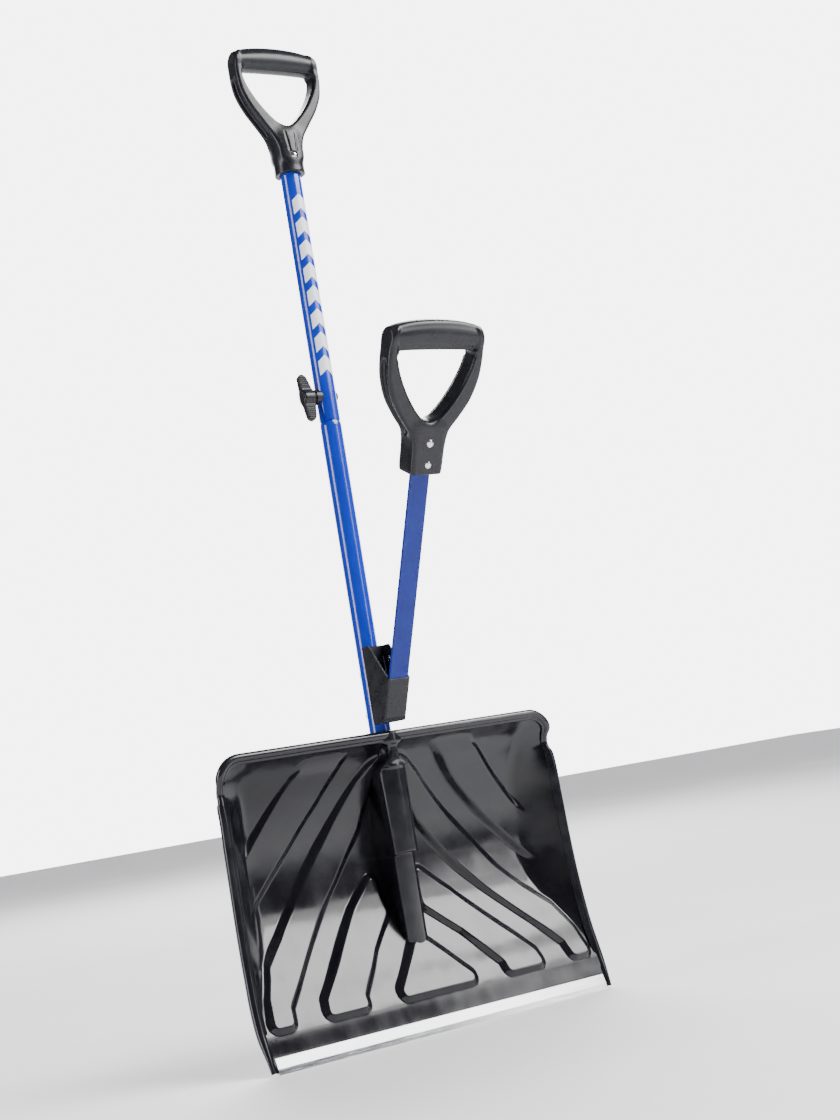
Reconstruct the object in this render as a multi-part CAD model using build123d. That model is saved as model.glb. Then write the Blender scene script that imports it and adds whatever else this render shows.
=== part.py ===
"""Snow shovel with a spring-hinged assist handle, in millimetres.

Every piece is drawn about the shaft: Z runs up the shaft's axis, X to the right, and -Y to the
front, where the scoop is open. save() then moves the pieces back, so that the finished model's
origin is the centre of the wear strip's ground edge.
"""
import os
from math import asin, cos, radians, sin

from build123d import *

# Overall arrangement
EDGE_SETBACK = 56.0          # shaft axis behind the ground edge's centre line
LIP_HALF_WIDTH = 228.5       # the wear strip is 18 in long
RIM_TOP = 350.0              # centre of the rolled rim's top run

# Tubes
UPPER_R = 13.0
LOWER_R = 13.4
TUBE_WALL = 1.3
NECK_R = UPPER_R - TUBE_WALL - 0.1
SHAFT_FOOT = 165.0
JOINT_Z = 746.0
NECK_TOP = 812.0
UPPER_TOP = 1122.0
SHOULDER = 6.0               # height of the swaged shoulder under the joint

# Scoop: stations up the blade, as
# (height, floor half-width, floor y, side rim half-width, side rim y)
SCOOP_STATIONS = [
    (2.0, 228.4, -55.6, 235.5, -55.0),
    (6.0, 228.4, -55.0, 236.0, -54.0),
    (18.0, 228.0, -50.6, 236.5, -50.0),
    (38.0, 226.5, -41.0, 237.0, -42.0),
    (63.0, 221.0, -31.0, 236.5, -33.0),
    (88.0, 212.0, -18.0, 236.0, -28.0),
    (110.0, 204.0, -4.0, 235.5, -25.0),
    (130.0, 199.0, 8.0, 235.0, -23.0),
    (150.0, 194.0, 18.0, 234.5, -21.5),
    (170.0, 191.5, 24.5, 234.5, -20.5),
    (195.0, 189.5, 27.5, 234.5, -19.8),
    (225.0, 188.5, 28.0, 234.0, -19.0),
    (250.0, 189.5, 26.0, 233.5, -18.0),
    (275.0, 191.5, 20.0, 233.0, -17.0),
    (300.0, 193.5, 10.0, 232.5, -16.5),
    (315.0, 193.5, 1.0, 232.0, -17.0),
    (327.0, 192.5, -7.0, 229.5, -19.0),
    (337.0, 191.0, -16.0, 225.0, -21.5),
    (350.0, 186.0, -28.0, 206.0, -28.0),
]
SKIN = 3.0
LIP_SKIN = 2.0
RIB_RISE = 7.0
# The ribs' walls slope out by this much from the outlines of their tops
RIB_DRAFT = 7.0
RIM_R = 5.5
# Centre line of the rolled rim up the right side, to the sharp corner that RIM_CORNER_R rounds
RIM_LINE = [(234.5, -53, 8), (235.5, -40, 45), (234, -26, 105), (232.5, -19.5, 190), (230.5, -22, RIM_TOP)]
RIM_CORNER_R = 27.0

# Socket boss on the scoop, around the shaft
HOOD_TOP, HOOD_FOOT = 344.0, 207.0
HOOD_TOP_R, HOOD_FOOT_R = 21.0, 18.5
HOOD_FRONT = -25.5
SLEEVE_FOOT = 95.0
SLEEVE_R = 16.2
SOCKET_FIT = 0.1
SOCKET_SCREW_HEIGHTS = (195.0, 262.0)
SOCKET_SCREW_R, SOCKET_SCREW_HEAD_R = 2.4, 5.0
SEAT_DEPTH = 1.4             # how deep each socket screw's head is let into the back
HEAD_CLEARANCE = 0.3

# Wear strip
STRIP_TOP = 17.7
STRIP_SHEET = 1.2
RIVET_PITCH = 95.0
RIVET_R = 1.6
RIVET_LENGTH = 3.4

# Clamp knob
KNOB_Z = 777.0
BOLT_R = 3.0
BOLT_HOLE_R = 3.1
KNOB_TURN = -12.0            # how far the wings lean from the shaft's line, degrees
WING_SPAN = 63.0
WING_THICKNESS = 8.4
WING_ROOT, WING_TIP = 16.0, 10.0    # widths of a wing at the hub and at its tip
WING_MID, WING_TIP_MID = -26.4, -28.2
HUB_R, HUB_DEPTH = 9.5, 16.0
NOTCHES, FIRST_NOTCH, NOTCH_PITCH = 7, 11.5, 2.8
NOTCH_R, NOTCH_DEPTH = 1.3, 0.5
INSERT_ACROSS, INSERT_DEPTH = 10.0, 13.0

# Assist handle, drawn about its pivot: z along the bar, -y to the front
PIVOT_Y, PIVOT_Z = -30.0, 385.0
BAR_LEAN = 28.5
PIVOT_TO_BAR = 14.2
BAR_WIDTH, BAR_THICK = 25.4, 3.2
BAR_FOOT, BAR_TOP = 1.0, 346.0
BAR_GAP = 0.3                # from the bar to the bracket's front wall
PIN_R = 4.0
SLEEVE_BORE_R = 4.05
SLEEVE_OUT_R = 5.5
LUG_HALF = 3.5
ASSIST_BOLTS = (308.0, 333.0)

# Spring bracket
SHEET = 1.6
BRACKET_HALF = 15.0
BRACKET_FOOT, BRACKET_TOP = 365.0, 459.5
BRACKET_BACK = -13.5
FRONT_WALL_TOP = 41.0        # along the bar from the pivot
BRACKET_BOLT_HEIGHTS = (378.0, 428.0)
KEEPER_Y, KEEPER_Z = -26.3, 441.2
KEEPER_R = 2.0

# Spring
WIRE = 2.4
COIL_R = 8.0
COIL_INNER, COIL_OUTER = 4.0, 12.8
BOW_LEAN, BOW_LENGTH = 4.8, 38.0
LEG_TOP = 446.0

# Hand grips
UPPER_GRIP_BASE = 1067.0
UPPER_SOCKET_R, UPPER_SOCKET_TOP_R, UPPER_SOCKET_LENGTH = 19.5, 17.2, 52.0
UPPER_SCREW_Z = 1088.0
UPPER_SCREW_SEAT = -18.4
UPPER_SCREW_R, UPPER_SCREW_HEAD_R = 2.0, 4.5
CROSSBAR_DEPTH = 26.0
ARM_DEPTH = 25.0


def save(node, made):
    """Write one node's solid or solids, moved back so that the ground edge is at the origin."""
    shape = Compound(children=made) if isinstance(made, list) else made
    export_step(shape.moved(Location((0, EDGE_SETBACK, 0))), f"parts/{node}.step")


def yz_prism(points, half):
    """Extrude a closed outline of (y, z) points along X, from -half to +half."""
    face = make_face(Polyline(*[(-half, y, z) for y, z in points], close=True))
    return extrude(face, amount=2 * half, dir=(1, 0, 0))


def rod(start, end, radius):
    """A round bar between two points."""
    run = Vector(*end) - Vector(*start)
    return extrude(Plane(origin=start, z_dir=run) * Circle(radius), amount=run.length)


def domed_bolt(seat, out, shank_r, length, head_r, head_height):
    """A domed bolt, screw or rivet: its head stands out from seat and its shank runs back."""
    ball_r = (head_r**2 + head_height**2) / (2 * head_height)
    half_turn = asin(head_r / ball_r) / 2
    crown = (ball_r * sin(half_turn), 0, head_height - ball_r + ball_r * cos(half_turn))
    sides = Polyline((head_r, 0, 0), (shank_r, 0, 0), (shank_r, 0, -length), (0, 0, -length),
                     (0, 0, head_height))
    arc = ThreePointArc((0, 0, head_height), crown, (head_r, 0, 0))
    turned = revolve(make_face(sides.edges() + [arc]), Axis.Z)
    return turned.moved(Plane(origin=seat, z_dir=out).location)


def hexagon(centre, out, across, height):
    """A hexagonal prism standing on centre."""
    seat = Plane(origin=centre, z_dir=out)
    return extrude(seat * RegularPolygon(across / 2, 6, major_radius=False), amount=height)


# ---------------------------------------------------------------- scoop


def floor_y(height):
    """The scoop floor's front face at a height."""
    for low, high in zip(SCOOP_STATIONS, SCOOP_STATIONS[1:]):
        if height <= high[0]:
            share = (height - low[0]) / (high[0] - low[0])
            return low[2] + share * (high[2] - low[2])
    return SCOOP_STATIONS[-1][2]


def skin_at(height):
    return LIP_SKIN if height < 4 else SKIN


def scoop_section(height, floor_half, floor, rim_half, rim):
    """The scoop's U-shaped section at one height: front line, then back line."""
    skin = skin_at(height)
    front = [(-rim_half, rim), (-floor_half, floor), (floor_half, floor), (rim_half, rim)]
    side, back = 0.7 * skin, 0.4 * skin
    rear = [
        (rim_half + side, rim + side),
        (floor_half + back, floor + skin),
        (-floor_half - back, floor + skin),
        (-rim_half - side, rim + side),
    ]
    return make_face(Polyline(*[(x, y, height) for x, y in front + rear], close=True))


def scoop_shell():
    sections = [scoop_section(*station) for station in SCOOP_STATIONS]
    return loft(sections, ruled=True)


def floor_band(front, back):
    """A slab that follows the floor, from front to back of its front face."""
    levels = [s[0] for s in SCOOP_STATIONS if s[0] >= 38]
    fore = [(floor_y(z) + front, z) for z in levels]
    aft = [(floor_y(z) + back, z) for z in reversed(levels)]
    return yz_prism(fore + aft, LIP_HALF_WIDTH)


def rib_outlines():
    """Outlines in X and Z of the raised panels' tops: three right of the socket, and the centre one."""
    upper = [(112, 334), (142, 301), (172, 262), (190, 243), (189, 186), (138, 240), (98, 287), (66, 332)]
    middle = [(10, 332), (41, 301), (80, 250), (121, 199), (145, 167), (172, 137), (199, 111), (214, 78),
              (219, 48), (196, 48), (192, 66), (171, 91), (126, 141), (84, 190), (42, 246)]
    lower = [(30, 187), (68, 152), (110, 104), (146, 64), (150, 48), (99, 48), (98, 60), (62, 106), (26, 140)]
    centre = [(0, 105), (10, 100), (40, 66), (50, 55), (48, 48), (-48, 48), (-50, 55), (-40, 66), (-10, 100)]
    return [upper, middle, lower], centre


def rib_prism(outline, grow):
    """A prism along Y through one panel, its outline grown by some millimetres."""
    face = make_face(Polyline(*[(x, -90, z) for x, z in outline], close=True))
    return extrude(offset(face, amount=grow), amount=150, dir=(0, 1, 0))


def raised_panels(band, grow):
    sides, centre = rib_outlines()
    made = [band & rib_prism(outline, grow) for outline in sides]
    made += [mirror(rib, Plane.YZ) for rib in made]
    return made + [band & rib_prism(centre, grow)]


def ribs():
    """The raised panels, their straight walls half-way down the sloped ones."""
    return raised_panels(floor_band(-RIB_RISE, 1.0), RIB_DRAFT / 2)


def rib_hollows():
    """The hollows behind the raised panels, that leave a skin all round."""
    return raised_panels(floor_band(SKIN - RIB_RISE, SKIN + 1.0), RIB_DRAFT / 2 - SKIN)


def rolled_rim():
    """The rolled edge up both sides and across the top."""
    left = [(-x, y, z) for x, y, z in reversed(RIM_LINE)]
    bends = [60, 60, 120, RIM_CORNER_R]
    path = FilletPolyline(*(RIM_LINE + left), radius=bends + bends[::-1])
    return sweep(Plane(origin=path @ 0, z_dir=path % 0) * Circle(RIM_R), path=path)


def boss_section(height, radius, front):
    """A round-fronted, straight-sided section that reaches back through the floor."""
    centre = front + radius
    back = 40.0
    line = Polyline((radius, centre, height), (radius, back, height), (-radius, back, height),
                    (-radius, centre, height))
    nose = ThreePointArc((-radius, centre, height), (0, front, height), (radius, centre, height))
    return make_face(line.edges() + nose.edges())


def socket_boss():
    hood = loft([
        boss_section(HOOD_FOOT, HOOD_FOOT_R, HOOD_FRONT),
        boss_section(HOOD_TOP, HOOD_TOP_R, HOOD_FRONT),
    ], ruled=True)
    sleeve = loft([
        boss_section(SLEEVE_FOOT, SLEEVE_R, -SLEEVE_R - 1),
        boss_section(HOOD_FOOT + 2, SLEEVE_R, -SLEEVE_R - 1),
    ], ruled=True)
    levels = [s[0] for s in SCOOP_STATIONS]
    behind = [(floor_y(z) + SKIN, z) for z in levels]
    ahead = yz_prism(behind + [(-90, levels[-1]), (-90, levels[0])], 60)
    return (hood + sleeve) & ahead


def socket_screw_seats():
    """Where each socket screw's head bears, in a flat seat cut into the back of the floor."""
    return [(0, floor_y(z) + SKIN - SEAT_DEPTH, z) for z in SOCKET_SCREW_HEIGHTS]


def blade():
    body = scoop_shell() + ribs() - rib_hollows() + rolled_rim() + socket_boss()
    body -= Pos(0, 0, SHAFT_FOOT) * Cylinder(
        LOWER_R + SOCKET_FIT, 400, align=(Align.CENTER, Align.CENTER, Align.MIN))
    for seat in socket_screw_seats():
        body -= rod(seat, (0, 0, seat[2]), SOCKET_SCREW_R)
        body -= rod(seat, (0, seat[1] + 10, seat[2]), SOCKET_SCREW_HEAD_R + HEAD_CLEARANCE)
    for place in strip_rivet_places():
        body -= rivet_hole(place)
    return body


def socket_screws():
    return [
        domed_bolt(seat, (0, 1, 0), SOCKET_SCREW_R, seat[1] - LOWER_R + 3.5, SOCKET_SCREW_HEAD_R, 2.8)
        for seat in socket_screw_seats()
    ]


# ---------------------------------------------------------------- wear strip

REAR_LEG = ((-54.0, 0.0), (-46.2, STRIP_TOP))


def strip_rivet_places():
    """Rivet centres on the strip's rear leg, half-way up it."""
    y = (REAR_LEG[0][0] + REAR_LEG[1][0]) / 2
    z = (REAR_LEG[0][1] + REAR_LEG[1][1]) / 2
    return [(x * RIVET_PITCH, y, z) for x in (-2, -1, 0, 1, 2)]


def rivet_out():
    """Outward normal of the strip's rear leg."""
    rise = REAR_LEG[1][1] - REAR_LEG[0][1]
    run = REAR_LEG[1][0] - REAR_LEG[0][0]
    return Vector(0, rise, -run).normalized()


def rivet_hole(place):
    return rod(place, tuple(Vector(*place) - rivet_out() * RIVET_LENGTH), RIVET_R)


def wear_strip():
    """A folded aluminium channel over the lip, with a bevelled lower face."""
    outer = [(-51.8, STRIP_TOP), (-56.3, 6.5), (-57.5, 0.0), REAR_LEG[0], REAR_LEG[1]]
    lip = [(-50.6, 18.0), (-55.0, 6.0), (-55.6, 2.0), (-53.6, 2.0), (-52.0, 6.0), (-47.6, 18.0)]
    strip = yz_prism(outer, LIP_HALF_WIDTH) - yz_prism(lip, LIP_HALF_WIDTH + 1)
    for place in strip_rivet_places():
        strip -= rivet_hole(place)
    return strip


def wear_strip_rivets():
    return [domed_bolt(p, rivet_out(), RIVET_R, RIVET_LENGTH, 3.2, 1.0) for p in strip_rivet_places()]


# ---------------------------------------------------------------- shaft


def tube(profile):
    """Turn an (r, z) outline about the shaft's axis."""
    face = make_face(Polyline(*[(r, 0, z) for r, z in profile], close=True))
    return revolve(face, Axis.Z)


def cross_hole(z, radius):
    return rod((-30, 0, z), (30, 0, z), radius)


def fore_hole(z, radius, start=-30.0, end=30.0):
    return rod((0, start, z), (0, end, z), radius)


def lower_shaft():
    """The lower tube, swaged down at the top to enter the upper one."""
    shoulder = JOINT_Z - SHOULDER
    body = tube([
        (LOWER_R, SHAFT_FOOT), (LOWER_R, shoulder), (LOWER_R - 0.5, shoulder + 3),
        (NECK_R + 0.6, JOINT_Z - 0.8), (NECK_R, JOINT_Z), (NECK_R, NECK_TOP),
        (NECK_R - TUBE_WALL, NECK_TOP), (NECK_R - TUBE_WALL, JOINT_Z - 1),
        (LOWER_R - TUBE_WALL, shoulder - 2), (LOWER_R - TUBE_WALL, SHAFT_FOOT),
    ])
    body -= cross_hole(KNOB_Z, BOLT_HOLE_R)
    for z in BRACKET_BOLT_HEIGHTS:
        body -= fore_hole(z, BOLT_HOLE_R)
    for z in SOCKET_SCREW_HEIGHTS:
        body -= fore_hole(z, SOCKET_SCREW_R, start=0)
    return body


def upper_shaft():
    body = tube([
        (UPPER_R, JOINT_Z), (UPPER_R, UPPER_TOP),
        (UPPER_R - TUBE_WALL, UPPER_TOP), (UPPER_R - TUBE_WALL, JOINT_Z),
    ])
    body -= cross_hole(KNOB_Z, BOLT_HOLE_R)
    body -= fore_hole(UPPER_SCREW_Z, UPPER_SCREW_R, end=0)
    return body


# ---------------------------------------------------------------- clamp knob

SADDLE_OUT = -(UPPER_R + 4.0)
WASHER_OUT = SADDLE_OUT - 1.2
KNOB_IN = WASHER_OUT - 0.05
KNOB_OUT = KNOB_IN - HUB_DEPTH
INSERT_OUT = KNOB_IN - INSERT_DEPTH


def clamp_bolt():
    length = UPPER_R - INSERT_OUT - 0.5
    return domed_bolt((UPPER_R, 0, KNOB_Z), (1, 0, 0), BOLT_R, length, 6.5, 3.4)


def knob_saddle():
    """A moulded pad, hollowed to sit on the tube."""
    pad = rod((SADDLE_OUT, 0, KNOB_Z), (-9, 0, KNOB_Z), HUB_R)
    pad -= rod((0, 0, KNOB_Z - 20), (0, 0, KNOB_Z + 20), UPPER_R)
    return pad - cross_hole(KNOB_Z, BOLT_HOLE_R)


def knob_washer():
    disc = rod((WASHER_OUT, 0, KNOB_Z), (SADDLE_OUT, 0, KNOB_Z), 8.0)
    return disc - cross_hole(KNOB_Z, BOLT_HOLE_R)


def knob_insert():
    """A hexagonal threaded insert, its bore at the thread's outside size."""
    body = hexagon((KNOB_IN, 0, KNOB_Z), (-1, 0, 0), INSERT_ACROSS, INSERT_DEPTH)
    return body - rod((0, 0, KNOB_Z), (-50, 0, KNOB_Z), BOLT_R + 0.05)


def wing_plate():
    """One wing, in the plane of the knob's axis: tapered, flared outwards and round at its tip."""
    tip_z = (WING_SPAN - WING_TIP) / 2
    root_in, root_out = WING_MID + WING_ROOT / 2, WING_MID - WING_ROOT / 2
    tip_in, tip_out = WING_TIP_MID + WING_TIP / 2, WING_TIP_MID - WING_TIP / 2
    sides = Polyline((tip_in, 0, tip_z), (root_in, 0, 0), (root_out, 0, 0), (tip_out, 0, tip_z))
    tip = ThreePointArc((tip_out, 0, tip_z), (WING_TIP_MID, 0, WING_SPAN / 2), (tip_in, 0, tip_z))
    plate = extrude(make_face(sides.edges() + tip.edges()), amount=WING_THICKNESS / 2, dir=(0, 1, 0), both=True)
    for step in range(NOTCHES):
        z = FIRST_NOTCH + NOTCH_PITCH * step
        for side in (-1, 1):
            y = side * (WING_THICKNESS / 2 + NOTCH_R - NOTCH_DEPTH)
            plate -= rod((root_in + 1, y, z), (root_out - 3, y, z), NOTCH_R)
    return plate


def wing_knob():
    """Two flat wings on a round hub, with grip notches across their flats."""
    knob = rod((KNOB_IN, 0, 0), (KNOB_OUT, 0, 0), HUB_R)
    knob += wing_plate()
    knob += Rot(180, 0, 0) * wing_plate()
    knob = Pos(0, 0, KNOB_Z) * Rot(KNOB_TURN, 0, 0) * knob
    knob -= hexagon((KNOB_IN, 0, KNOB_Z), (-1, 0, 0), INSERT_ACROSS, INSERT_DEPTH)
    return knob - rod((0, 0, KNOB_Z), (INSERT_OUT - 1, 0, KNOB_Z), BOLT_R + 0.4)


# ---------------------------------------------------------------- hand grips


# Right halves of the grips' outlines and openings in X and Z, from the neck up
UPPER_OUTLINE = [(14.5, 1088), (16, 1100), (23, 1116), (36, 1135), (48, 1153), (56.5, 1172), (59.5, 1190),
                 (59.5, 1208), (57, 1219.5), (50, 1229), (30, 1233.5), (0, 1235)]
UPPER_OPENING = [(0, 1128), (8, 1132), (20, 1142.5), (34.5, 1160), (45.5, 1179), (50.5, 1195),
                 (48.5, 1202), (43, 1204.3), (0, 1205)]
ASSIST_OUTLINE = [(19.5, 300), (20.5, 328), (26.5, 345), (39.5, 362), (52.5, 382), (60.5, 405), (63, 426),
                  (62.5, 444), (59.5, 456), (53, 465.5), (31, 470.5), (0, 472)]
ASSIST_OPENING = [(0, 354.5), (8, 358.5), (21, 371), (35, 391), (46, 413), (51, 430),
                  (49, 436.5), (43, 438.8), (0, 439.5)]


def half_and_mirror(points, start, end):
    """A closed loop of a spline through the right half's points and its mirror image."""
    side = Spline(*points, tangents=[start, end])
    return [side, mirror(side, Plane.YZ)]


def grip_frame(outline, opening):
    """A D-shaped hand frame in X and Z, its crossbar arched and its arms drawn in to the neck."""
    foot_x, foot_z = outline[0]
    outer = make_face(half_and_mirror(outline, (0, 1), (-1, 0))
                      + [Line((-foot_x, foot_z), (foot_x, foot_z))])
    hole = make_face(half_and_mirror(opening, (1, 0.4), (-1, 0)))
    reach = max(x for x, z in outline)
    top, opening_top = outline[-1][1], opening[-1][1]
    ends = top - 7
    frame = extrude(Plane.XZ * (outer - hole), amount=ARM_DEPTH / 2, both=True)
    bar_mid = (opening_top - 1.5 + ends) / 2
    bar_half = (ends - opening_top + 1.5) / 2 + 1
    bar_reach = reach - 8
    bar = extrude(Plane(origin=(-bar_reach, 0, bar_mid), x_dir=(0, 1, 0), z_dir=(1, 0, 0))
                  * Ellipse(CROSSBAR_DEPTH / 2, bar_half), amount=2 * bar_reach)
    return frame + bar


def upper_grip():
    base = UPPER_GRIP_BASE
    frame = grip_frame(UPPER_OUTLINE, UPPER_OPENING)
    length = UPPER_SOCKET_LENGTH
    standing = (Align.CENTER, Align.CENTER, Align.MIN)
    socket = Pos(0, 0, base) * Cone(UPPER_SOCKET_R, UPPER_SOCKET_TOP_R, length, align=standing)
    cap = Pos(0, 0, base + length) * Cone(UPPER_SOCKET_TOP_R, 10.0, 10.0, align=standing)
    body = frame + socket + cap
    body -= rod((0, 0, base - 5), (0, 0, UPPER_TOP), UPPER_R + 0.05)
    body -= rod((0, UPPER_SCREW_SEAT, UPPER_SCREW_Z), (0, UPPER_SCREW_SEAT - 5, UPPER_SCREW_Z),
                UPPER_SCREW_HEAD_R + HEAD_CLEARANCE)
    return body - fore_hole(UPPER_SCREW_Z, UPPER_SCREW_R, end=0)


def upper_grip_screw():
    seat = (0, UPPER_SCREW_SEAT, UPPER_SCREW_Z)
    return domed_bolt(seat, (0, -1, 0), UPPER_SCREW_R, 9.0, UPPER_SCREW_HEAD_R, 2.4)


def assist_place(shape):
    """Move a piece from the assist handle's own frame to its place at rest."""
    lean = radians(BAR_LEAN)
    pivot = Plane(origin=(0, PIVOT_Y, PIVOT_Z), x_dir=(1, 0, 0), z_dir=(0, -sin(lean), cos(lean)))
    return shape.moved(pivot.location)


ASSIST_BASE = 296.0
SOCKET_HALF_WIDTH, SOCKET_HALF_DEPTH = 19.0, 14.0
NUT_ACROSS, NUT_HEIGHT = 10.0, 5.0


def assist_bolt_hole(z, radius):
    return rod((0, -PIVOT_TO_BAR - 30, z), (0, -PIVOT_TO_BAR + 30, z), radius)


def assist_grip():
    frame = grip_frame(ASSIST_OUTLINE, ASSIST_OPENING)
    socket = loft([
        Pos(0, 0, ASSIST_BASE) * RectangleRounded(2 * SOCKET_HALF_WIDTH, 2 * SOCKET_HALF_DEPTH, 5),
        Pos(0, 0, 352) * RectangleRounded(2 * SOCKET_HALF_WIDTH + 2, 2 * SOCKET_HALF_DEPTH, 5),
    ])
    body = Pos(0, -PIVOT_TO_BAR, 0) * (frame + socket)
    slot_top = BAR_TOP + 0.5
    body -= Pos(0, -PIVOT_TO_BAR, (ASSIST_BASE + slot_top) / 2 - 5) * Box(
        BAR_WIDTH + 0.2, BAR_THICK + 0.2, slot_top - ASSIST_BASE + 10)
    back = -PIVOT_TO_BAR + SOCKET_HALF_DEPTH
    for z in ASSIST_BOLTS:
        body -= assist_bolt_hole(z, BOLT_HOLE_R)
        body -= hexagon((0, back - NUT_HEIGHT, z), (0, 1, 0), NUT_ACROSS + 0.2, 20)
    return assist_place(body)


def assist_grip_bolts():
    front = -PIVOT_TO_BAR - SOCKET_HALF_DEPTH
    length = 2 * SOCKET_HALF_DEPTH - 0.5
    return [
        assist_place(domed_bolt((0, front, z), (0, -1, 0), BOLT_R, length, 6.2, 3.2))
        for z in ASSIST_BOLTS
    ]


def assist_grip_nuts():
    back = -PIVOT_TO_BAR + SOCKET_HALF_DEPTH
    return [
        assist_place(hexagon((0, back - NUT_HEIGHT, z), (0, 1, 0), NUT_ACROSS, NUT_HEIGHT)
                     - assist_bolt_hole(z, BOLT_R))
        for z in ASSIST_BOLTS
    ]


# ---------------------------------------------------------------- assist bar and its hinge


def assist_bar():
    """The flat spring-steel bar, its foot square and its head hidden in the grip."""
    middle = (BAR_FOOT + BAR_TOP) / 2
    body = Pos(0, -PIVOT_TO_BAR, middle) * Box(BAR_WIDTH, BAR_THICK, BAR_TOP - BAR_FOOT)
    for z in ASSIST_BOLTS:
        body -= assist_bolt_hole(z, BOLT_HOLE_R)
    return assist_place(body)


def hinge_lug():
    """The welded plate that carries the bar on its pivot tube."""
    back = -PIVOT_TO_BAR + BAR_THICK / 2
    outline = [(back, 2), (back, 30), (back + 2, 30), (7.2, 5.5), (8.0, -4), (0, -9), (-7, -5.5)]
    plate = yz_prism(outline, LUG_HALF)
    ring = rod((-LUG_HALF, 0, 0), (LUG_HALF, 0, 0), 9.0)
    return assist_place(plate + ring - rod((-20, 0, 0), (20, 0, 0), SLEEVE_OUT_R))


def pivot_tube():
    half = BRACKET_HALF - SHEET - 0.4
    body = rod((-half, 0, 0), (half, 0, 0), SLEEVE_OUT_R) - rod((-20, 0, 0), (20, 0, 0), SLEEVE_BORE_R)
    return assist_place(body)


def pivot_pin():
    """The pin through both side plates, its ends flush and painted over."""
    return rod((-BRACKET_HALF, PIVOT_Y, PIVOT_Z), (BRACKET_HALF, PIVOT_Y, PIVOT_Z), PIN_R)


def assist_spring():
    """A double torsion spring: two coil packs, a bow behind the bar and two legs on the rear wall."""
    lean = radians(BAR_LEAN + BOW_LEAN)
    wire = WIRE / 2
    slack = 0.1
    bow_x = COIL_INNER + wire + slack
    leg_x = COIL_OUTER - wire - slack
    front = (PIVOT_Y - COIL_R * cos(lean), PIVOT_Z - COIL_R * sin(lean))
    bow_top = (front[0] - BOW_LENGTH * sin(lean), front[1] + BOW_LENGTH * cos(lean))
    rear_y = BRACKET_BACK - SHEET - wire - slack
    spring = rod((-bow_x, *bow_top), (bow_x, *bow_top), wire)
    for side in (-1, 1):
        near, far = (side * COIL_INNER, PIVOT_Y, PIVOT_Z), (side * COIL_OUTER, PIVOT_Y, PIVOT_Z)
        ring = rod(near, far, COIL_R + wire + slack) - rod(near, far, COIL_R - wire - slack)
        bow = rod((side * bow_x, *front), (side * bow_x, *bow_top), wire)
        knee = Pos(side * bow_x, *bow_top) * Sphere(wire + slack)
        leg = rod((side * leg_x, PIVOT_Y + COIL_R, PIVOT_Z), (side * leg_x, rear_y, LEG_TOP), wire)
        spring += ring + bow + knee + leg
    return spring


# ---------------------------------------------------------------- spring bracket


def bar_line(depth, along):
    """The (y, z) point at a depth in front of the pivot and a length along the bar."""
    lean = radians(BAR_LEAN)
    y = PIVOT_Y - depth * cos(lean) - along * sin(lean)
    z = PIVOT_Z - depth * sin(lean) + along * cos(lean)
    return y, z


WALL_IN = PIVOT_TO_BAR + BAR_THICK / 2 + BAR_GAP
WALL_OUT = WALL_IN + SHEET


def bracket():
    """A folded sheet-steel box: rear wall on the tube, two side plates and a leaning front wall."""
    top_front = bar_line(WALL_OUT, FRONT_WALL_TOP)
    low_front = bar_line(WALL_OUT, -8.0)
    outline = [
        (BRACKET_BACK, BRACKET_FOOT), (BRACKET_BACK, BRACKET_TOP), (-29.0, BRACKET_TOP), top_front,
        low_front, (low_front[0] + 4.5, BRACKET_FOOT),
    ]
    body = yz_prism(outline, BRACKET_HALF)
    ahead = [e for e in body.edges() if abs(abs(e.center().X) - BRACKET_HALF) < 0.01
             and abs(e.center().Y - (top_front[0] + low_front[0]) / 2) < 1]
    body = fillet(ahead, 2.0)
    rear = BRACKET_BACK - SHEET
    cavity = [(rear, 300), (rear, 520), (-200, 520), bar_line(WALL_IN, 200), bar_line(WALL_IN, -40)]
    body -= yz_prism(cavity, BRACKET_HALF - SHEET)
    body -= pivot_pin()
    for z in BRACKET_BOLT_HEIGHTS:
        body -= fore_hole(z, BOLT_HOLE_R, end=0)
    return body - rod((5, KEEPER_Y, KEEPER_Z), (20, KEEPER_Y, KEEPER_Z), KEEPER_R)


def spring_keeper():
    """A rivet in the right side plate, its domed head inside, that keeps the spring leg in place."""
    inner = BRACKET_HALF - SHEET
    return domed_bolt((inner, KEEPER_Y, KEEPER_Z), (-1, 0, 0), KEEPER_R, SHEET, 4.0, 2.2)


def bracket_bolts():
    seat = BRACKET_BACK - SHEET
    return [
        domed_bolt((0, seat, z), (0, -1, 0), BOLT_R, LOWER_R + 7.5 - seat, 6.0, 3.2)
        for z in BRACKET_BOLT_HEIGHTS
    ]


def bracket_nuts():
    return [
        hexagon((0, LOWER_R, z), (0, 1, 0), NUT_ACROSS, 6.0) - fore_hole(z, BOLT_R)
        for z in BRACKET_BOLT_HEIGHTS
    ]


PIECES = [
    blade, wear_strip, wear_strip_rivets, socket_screws, lower_shaft, upper_shaft,
    clamp_bolt, knob_saddle, knob_washer, knob_insert, wing_knob, upper_grip, upper_grip_screw,
    assist_grip, assist_grip_bolts, assist_grip_nuts, assist_bar, hinge_lug, pivot_tube, pivot_pin,
    assist_spring, bracket, spring_keeper, bracket_bolts, bracket_nuts,
]

os.makedirs("parts", exist_ok=True)
for piece in PIECES:
    save(piece.__name__, piece())
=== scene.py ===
"""Looks of the snow shovel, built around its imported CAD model.

Shapes are worked out in millimetres about the shaft, as in the CAD model: Z up the shaft's axis,
X to the right and -Y to the front. shaft_frame() and arm_frame() give their places in metres.
"""
from math import cos, pi, radians, sin

import bpy
import numpy as np
from mathutils import Matrix, Vector
from mathutils.geometry import delaunay_2d_cdt


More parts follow.
